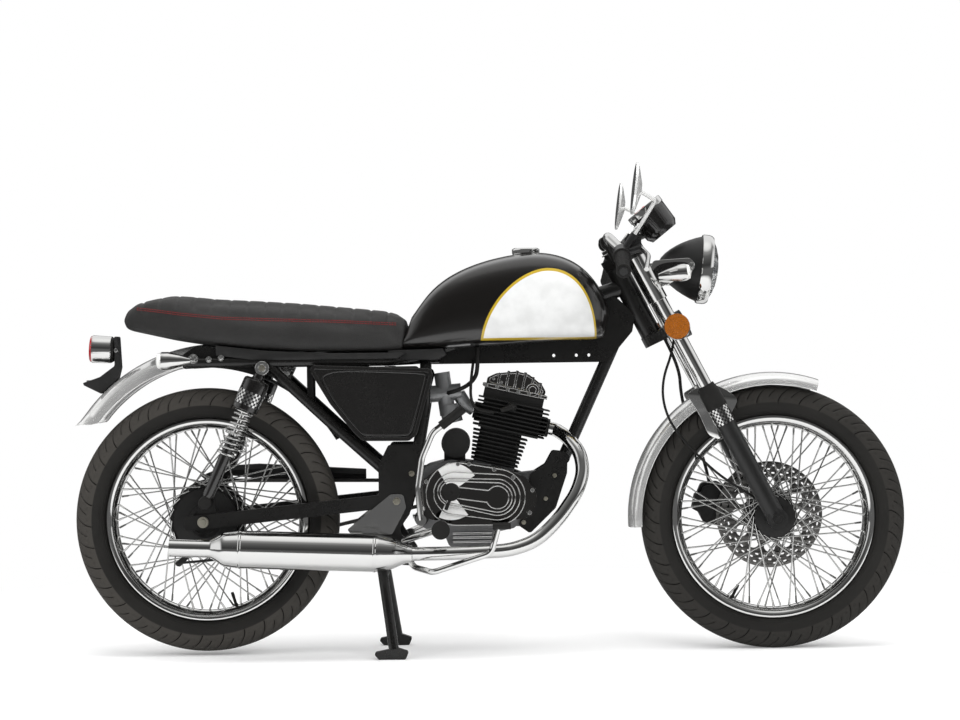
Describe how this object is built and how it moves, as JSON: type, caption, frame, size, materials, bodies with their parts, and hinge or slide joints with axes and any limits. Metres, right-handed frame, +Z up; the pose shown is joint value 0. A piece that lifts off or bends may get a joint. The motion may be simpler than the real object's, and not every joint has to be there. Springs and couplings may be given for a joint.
{
  "type": "cafe racer motorcycle",
  "caption": "Small single-cylinder cafe racer motorcycle with flat ribbed seat, wire wheels, side exhaust, low bars and a centre stand that is down.",
  "frame": {"origin": "on the ground, midway between the front and rear ends of the tyres, on the bike's middle plane", "axes": "+X forward, +Y to the rider's left, +Z up"},
  "size_m": [1.978, 0.7538, 1.1392],
  "materials": {
    "tyre_rubber": "matt charcoal black tread rubber",
    "chrome_plate": "bright polished chrome plating",
    "black_paint": "satin black enamel on steel tube",
    "gloss_black": "deep gloss black lacquer with pearl white side panels edged in gold",
    "black_alloy": "satin black coated cast alloy",
    "polished_alloy": "polished cast alloy",
    "cast_alloy": "grey die-cast alloy",
    "side_panel_black": "gloss black moulded panel with a raised border",
    "seat_cover": "dark grey ribbed vinyl with red double stitching",
    "black_plastic": "matt black moulded plastic",
    "black_rubber": "ribbed black rubber",
    "disc_steel": "dark ground steel",
    "zinc_steel": "zinc plated steel",
    "chain_steel": "oiled steel links",
    "lamp_shell": "gloss black bowl with chrome rim and clear lens",
    "lamp_red": "chrome can with a red lens",
    "lamp_clear": "chrome bullet with a clear lens",
    "reflector_amber": "amber moulded reflector",
    "mirror_chrome": "chrome backed round mirror",
    "chequered_can": "gloss black with a black and white chequered band, chrome spring"
  },
  "bodies": {
    "chassis": {"frame_front": "black_paint", "frame_rear": "black_paint", "swingarm": "black_paint", "rear_axle": "zinc_steel", "shock_absorbers": "chequered_can", "rear_fender": "chrome_plate", "inner_mudguard": "black_plastic", "tail_lamp": "lamp_red", "plate_bracket": "black_paint", "rear_signals": "lamp_clear", "fuel_tank": "gloss_black", "tank_cap": "chrome_plate", "seat": "seat_cover", "side_covers": "side_panel_black", "airbox": "black_plastic", "crankcase": "cast_alloy", "cylinder_barrel": "black_alloy", "cylinder_head": "black_alloy", "rocker_cover": "chrome_plate", "engine_covers": "polished_alloy", "carburettor": "cast_alloy", "engine_hoses": "black_rubber", "exhaust_pipe": "chrome_plate", "silencer": "chrome_plate", "footrests": "polished_alloy", "foot_levers": "chrome_plate", "rear_brake_plate": "black_alloy", "chain": "chain_steel", "chain_guard": "black_plastic"},
    "steering": {"fork_stanchions": "chrome_plate", "fork_sliders": "black_paint", "front_axle": "black_alloy", "fork_yokes": "black_alloy", "handlebar": "chrome_plate", "hand_controls": "black_rubber", "mirrors": "mirror_chrome", "headlamp": "lamp_shell", "lamp_ears": "black_paint", "front_signals": "lamp_clear", "instrument": "black_plastic", "horn_and_reflectors": "reflector_amber", "front_fender": "chrome_plate", "brake_caliper": "black_alloy", "speedo_cable": "black_rubber", "brake_hose": "black_rubber"},
    "front_wheel": {"front_tyre": "tyre_rubber", "front_rim": "chrome_plate", "front_spokes": "chrome_plate", "front_hub": "black_alloy", "brake_disc": "disc_steel"},
    "rear_wheel": {"rear_tyre": "tyre_rubber", "rear_rim": "chrome_plate", "rear_spokes": "chrome_plate", "rear_hub": "black_alloy", "rear_sprocket": "chain_steel"},
    "stand": {"centre_stand": "black_paint"}
  },
  "joints": [
    {"name": "steering", "type": "hinge", "parent": "chassis", "child": "steering", "pos_m": [0.63061, 0, 0.29099], "axis": [-0.4602, 0, 0.8878], "range_deg": [-35, 35]},
    {"name": "front_wheel_spin", "type": "hinge", "parent": "steering", "child": "front_wheel", "pos_m": [0.675, 0, 0.314], "axis": [0, 1, 0], "continuous": true},
    {"name": "rear_wheel_spin", "type": "hinge", "parent": "chassis", "child": "rear_wheel", "pos_m": [-0.675, 0, 0.324], "axis": [0, 1, 0], "continuous": true},
    {"name": "stand_fold", "type": "hinge", "parent": "chassis", "child": "stand", "pos_m": [-0.262, 0, 0.238], "axis": [0, 1, 0], "range_deg": [0, 77]}
  ]
}
